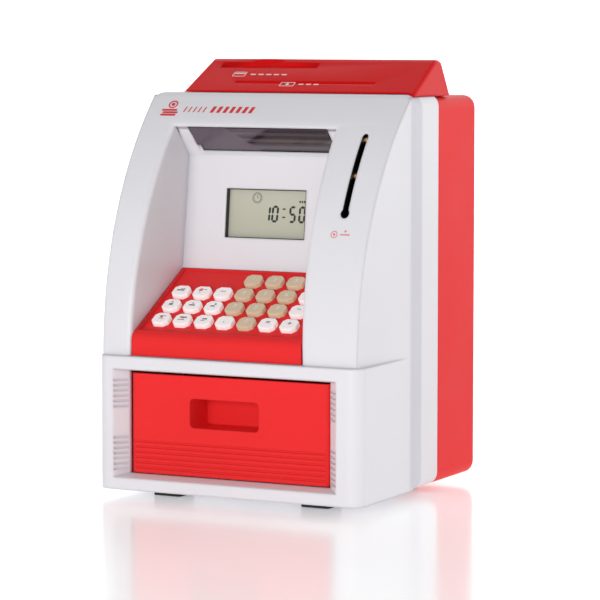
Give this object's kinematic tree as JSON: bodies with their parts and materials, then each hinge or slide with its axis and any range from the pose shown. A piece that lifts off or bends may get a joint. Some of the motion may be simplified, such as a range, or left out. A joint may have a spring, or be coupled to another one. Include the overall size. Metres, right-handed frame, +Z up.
{
  "type": "toy cash machine savings bank",
  "caption": "Toy cash machine savings bank with keypad, display, coin and note slots, and a latched money drawer.",
  "frame": {"origin": "middle of the footprint, on the surface that the feet stand on", "axes": "+X to the viewer's right, +Y towards the back, +Z up"},
  "size_m": [0.156, 0.1384, 0.226],
  "materials": {
    "white_plastic": "satin gloss, faint moulding texture",
    "red_plastic": "satin gloss",
    "key_white": "satin",
    "key_beige": "satin",
    "black_rubber": "matt",
    "grey_rubber": "matt",
    "circuit_board": "solder resist",
    "display_glass": "polished",
    "smoked_plastic": "polished",
    "black_nylon": "matt",
    "white_nylon": "matt",
    "plated_steel": "zinc plated",
    "brass": "machined",
    "battery_wrap": "printed film",
    "speaker_paper": "paper cone"
  },
  "bodies": {
    "chassis": {"front_casing": "white_plastic", "rear_casing": "red_plastic", "top_hood": "red_plastic", "keypad_deck": "red_plastic", "key_membrane": "grey_rubber", "keypad_board": "circuit_board", "lcd_panel": "display_glass", "ceiling_window": "smoked_plastic", "main_board": "circuit_board", "coin_chute": "black_nylon", "feed_motor": "plated_steel", "feed_frame": "white_nylon", "latch_solenoid": "plated_steel", "battery_1": "battery_wrap", "battery_2": "battery_wrap", "speaker": "speaker_paper", "casing_screw_1": "plated_steel", "foot_1": "black_rubber", "casing_screw_2": "plated_steel", "foot_2": "black_rubber", "casing_screw_3": "plated_steel", "foot_3": "black_rubber", "casing_screw_4": "plated_steel", "foot_4": "black_rubber"},
    "drawer": {"drawer_front": "red_plastic", "drawer_tray": "red_plastic"},
    "battery_lid": {"battery_door": "red_plastic"},
    "coin_sensor": {"coin_lever": "plated_steel"},
    "card_sensor": {"card_lever": "plated_steel"},
    "feed_shaft": {"feed_roller": "grey_rubber", "feed_gear": "white_nylon"},
    "pinch_shaft": {"pinch_roller": "white_nylon"},
    "pinion_shaft": {"motor_pinion": "brass"},
    "latch": {"latch_lever": "plated_steel"},
    "plunger": {"latch_plunger": "plated_steel"},
    "button_1_4": {"key_1_4": "key_beige"},
    "button_1_5": {"key_1_5": "key_beige"},
    "button_1_6": {"key_1_6": "key_beige"},
    "button_1_7": {"key_1_7": "key_white"},
    "button_2_1": {"key_2_1": "key_white"},
    "button_2_2": {"key_2_2": "key_white"},
    "button_2_3": {"key_2_3": "key_white"},
    "button_2_4": {"key_2_4": "key_beige"},
    "button_2_5": {"key_2_5": "key_beige"},
    "button_2_6": {"key_2_6": "key_beige"},
    "button_2_7": {"key_2_7": "key_white"},
    "button_3_1": {"key_3_1": "key_white"},
    "button_3_2": {"key_3_2": "key_white"},
    "button_3_3": {"key_3_3": "key_white"},
    "button_3_4": {"key_3_4": "key_beige"},
    "button_3_5": {"key_3_5": "key_beige"},
    "button_3_6": {"key_3_6": "key_beige"},
    "button_3_7": {"key_3_7": "key_white"},
    "button_4_1": {"key_4_1": "key_white"},
    "button_4_2": {"key_4_2": "key_white"},
    "button_4_3": {"key_4_3": "key_white"},
    "button_4_4": {"key_4_4": "key_white"},
    "button_4_5": {"key_4_5": "key_beige"},
    "button_4_6": {"key_4_6": "key_white"},
    "button_4_7": {"key_4_7": "key_white"}
  },
  "joints": [
    {"name": "drawer_slide", "type": "slide", "parent": "chassis", "child": "drawer", "axis": [0, -1, 0], "range_m": [0, 0.072]},
    {"name": "battery_door_hinge", "type": "hinge", "parent": "chassis", "child": "battery_lid", "pos_m": [0, 0.0692, 0.0596], "axis": [-1, 0, 0], "range_deg": [0, 80]},
    {"name": "coin_lever_hinge", "type": "hinge", "parent": "chassis", "child": "coin_sensor", "pos_m": [0.0516, -0.0092, 0.133], "axis": [0, 0, 1], "range_deg": [-22, 0], "stiffness_Nm_per_rad": 0.0008, "springref_deg": 5.73},
    {"name": "card_lever_hinge", "type": "hinge", "parent": "chassis", "child": "card_sensor", "pos_m": [-0.021, 0.0274, 0.1845], "axis": [1, 0, 0], "range_deg": [0, 30], "stiffness_Nm_per_rad": 0.0008, "springref_deg": -5.73},
    {"name": "feed_roller_spin", "type": "hinge", "parent": "chassis", "child": "feed_shaft", "pos_m": [0, 0.0112, 0.196], "axis": [1, 0, 0], "continuous": true},
    {"name": "pinch_roller_spin", "type": "hinge", "parent": "chassis", "child": "pinch_shaft", "pos_m": [0, 0.0012, 0.196], "axis": [1, 0, 0], "continuous": true},
    {"name": "motor_pinion_spin", "type": "hinge", "parent": "chassis", "child": "pinion_shaft", "pos_m": [-0.0546, 0.0112, 0.1836], "axis": [1, 0, 0], "continuous": true},
    {"name": "latch_hinge", "type": "hinge", "parent": "chassis", "child": "latch", "pos_m": [0.0585, -0.0372, 0.036], "axis": [0, 0, 1], "range_deg": [-12, 0]},
    {"name": "plunger_slide", "type": "slide", "parent": "chassis", "child": "plunger", "axis": [0, 1, 0], "range_m": [-0.0018, 0]},
    {"name": "key_1_4_press", "type": "slide", "parent": "chassis", "child": "button_1_4", "axis": [0, 0.5105, -0.8599], "range_m": [0, 0.0012], "stiffness_N_per_m": 300},
    {"name": "key_1_5_press", "type": "slide", "parent": "chassis", "child": "button_1_5", "axis": [0, 0.5105, -0.8599], "range_m": [0, 0.0012], "stiffness_N_per_m": 300},
    {"name": "key_1_6_press", "type": "slide", "parent": "chassis", "child": "button_1_6", "axis": [0, 0.5105, -0.8599], "range_m": [0, 0.0012], "stiffness_N_per_m": 300},
    {"name": "key_1_7_press", "type": "slide", "parent": "chassis", "child": "button_1_7", "axis": [0, 0.5105, -0.8599], "range_m": [0, 0.0012], "stiffness_N_per_m": 300},
    {"name": "key_2_1_press", "type": "slide", "parent": "chassis", "child": "button_2_1", "axis": [0, 0.5105, -0.8599], "range_m": [0, 0.0012], "stiffness_N_per_m": 300},
    {"name": "key_2_2_press", "type": "slide", "parent": "chassis", "child": "button_2_2", "axis": [0, 0.5105, -0.8599], "range_m": [0, 0.0012], "stiffness_N_per_m": 300},
    {"name": "key_2_3_press", "type": "slide", "parent": "chassis", "child": "button_2_3", "axis": [0, 0.5105, -0.8599], "range_m": [0, 0.0012], "stiffness_N_per_m": 300},
    {"name": "key_2_4_press", "type": "slide", "parent": "chassis", "child": "button_2_4", "axis": [0, 0.5105, -0.8599], "range_m": [0, 0.0012], "stiffness_N_per_m": 300},
    {"name": "key_2_5_press", "type": "slide", "parent": "chassis", "child": "button_2_5", "axis": [0, 0.5105, -0.8599], "range_m": [0, 0.0012], "stiffness_N_per_m": 300},
    {"name": "key_2_6_press", "type": "slide", "parent": "chassis", "child": "button_2_6", "axis": [0, 0.5105, -0.8599], "range_m": [0, 0.0012], "stiffness_N_per_m": 300},
    {"name": "key_2_7_press", "type": "slide", "parent": "chassis", "child": "button_2_7", "axis": [0, 0.5105, -0.8599], "range_m": [0, 0.0012], "stiffness_N_per_m": 300},
    {"name": "key_3_1_press", "type": "slide", "parent": "chassis", "child": "button_3_1", "axis": [0, 0.5105, -0.8599], "range_m": [0, 0.0012], "stiffness_N_per_m": 300},
    {"name": "key_3_2_press", "type": "slide", "parent": "chassis", "child": "button_3_2", "axis": [0, 0.5105, -0.8599], "range_m": [0, 0.0012], "stiffness_N_per_m": 300},
    {"name": "key_3_3_press", "type": "slide", "parent": "chassis", "child": "button_3_3", "axis": [0, 0.5105, -0.8599], "range_m": [0, 0.0012], "stiffness_N_per_m": 300},
    {"name": "key_3_4_press", "type": "slide", "parent": "chassis", "child": "button_3_4", "axis": [0, 0.5105, -0.8599], "range_m": [0, 0.0012], "stiffness_N_per_m": 300},
    {"name": "key_3_5_press", "type": "slide", "parent": "chassis", "child": "button_3_5", "axis": [0, 0.5105, -0.8599], "range_m": [0, 0.0012], "stiffness_N_per_m": 300},
    {"name": "key_3_6_press", "type": "slide", "parent": "chassis", "child": "button_3_6", "axis": [0, 0.5105, -0.8599], "range_m": [0, 0.0012], "stiffness_N_per_m": 300},
    {"name": "key_3_7_press", "type": "slide", "parent": "chassis", "child": "button_3_7", "axis": [0, 0.5105, -0.8599], "range_m": [0, 0.0012], "stiffness_N_per_m": 300},
    {"name": "key_4_1_press", "type": "slide", "parent": "chassis", "child": "button_4_1", "axis": [0, 0.5105, -0.8599], "range_m": [0, 0.0012], "stiffness_N_per_m": 300},
    {"name": "key_4_2_press", "type": "slide", "parent": "chassis", "child": "button_4_2", "axis": [0, 0.5105, -0.8599], "range_m": [0, 0.0012], "stiffness_N_per_m": 300},
    {"name": "key_4_3_press", "type": "slide", "parent": "chassis", "child": "button_4_3", "axis": [0, 0.5105, -0.8599], "range_m": [0, 0.0012], "stiffness_N_per_m": 300},
    {"name": "key_4_4_press", "type": "slide", "parent": "chassis", "child": "button_4_4", "axis": [0, 0.5105, -0.8599], "range_m": [0, 0.0012], "stiffness_N_per_m": 300},
    {"name": "key_4_5_press", "type": "slide", "parent": "chassis", "child": "button_4_5", "axis": [0, 0.5105, -0.8599], "range_m": [0, 0.0012], "stiffness_N_per_m": 300},
    {"name": "key_4_6_press", "type": "slide", "parent": "chassis", "child": "button_4_6", "axis": [0, 0.5105, -0.8599], "range_m": [0, 0.0012], "stiffness_N_per_m": 300},
    {"name": "key_4_7_press", "type": "slide", "parent": "chassis", "child": "button_4_7", "axis": [0, 0.5105, -0.8599], "range_m": [0, 0.0012], "stiffness_N_per_m": 300}
  ],
  "couplings": [
    {"joint": "motor_pinion_spin", "follows": "feed_roller_spin", "ratio": -2.4},
    {"joint": "pinch_roller_spin", "follows": "feed_roller_spin", "ratio": -1.4737},
    {"joint": "plunger_slide", "follows": "latch_hinge", "m_per_rad": 0.008117}
  ]
}
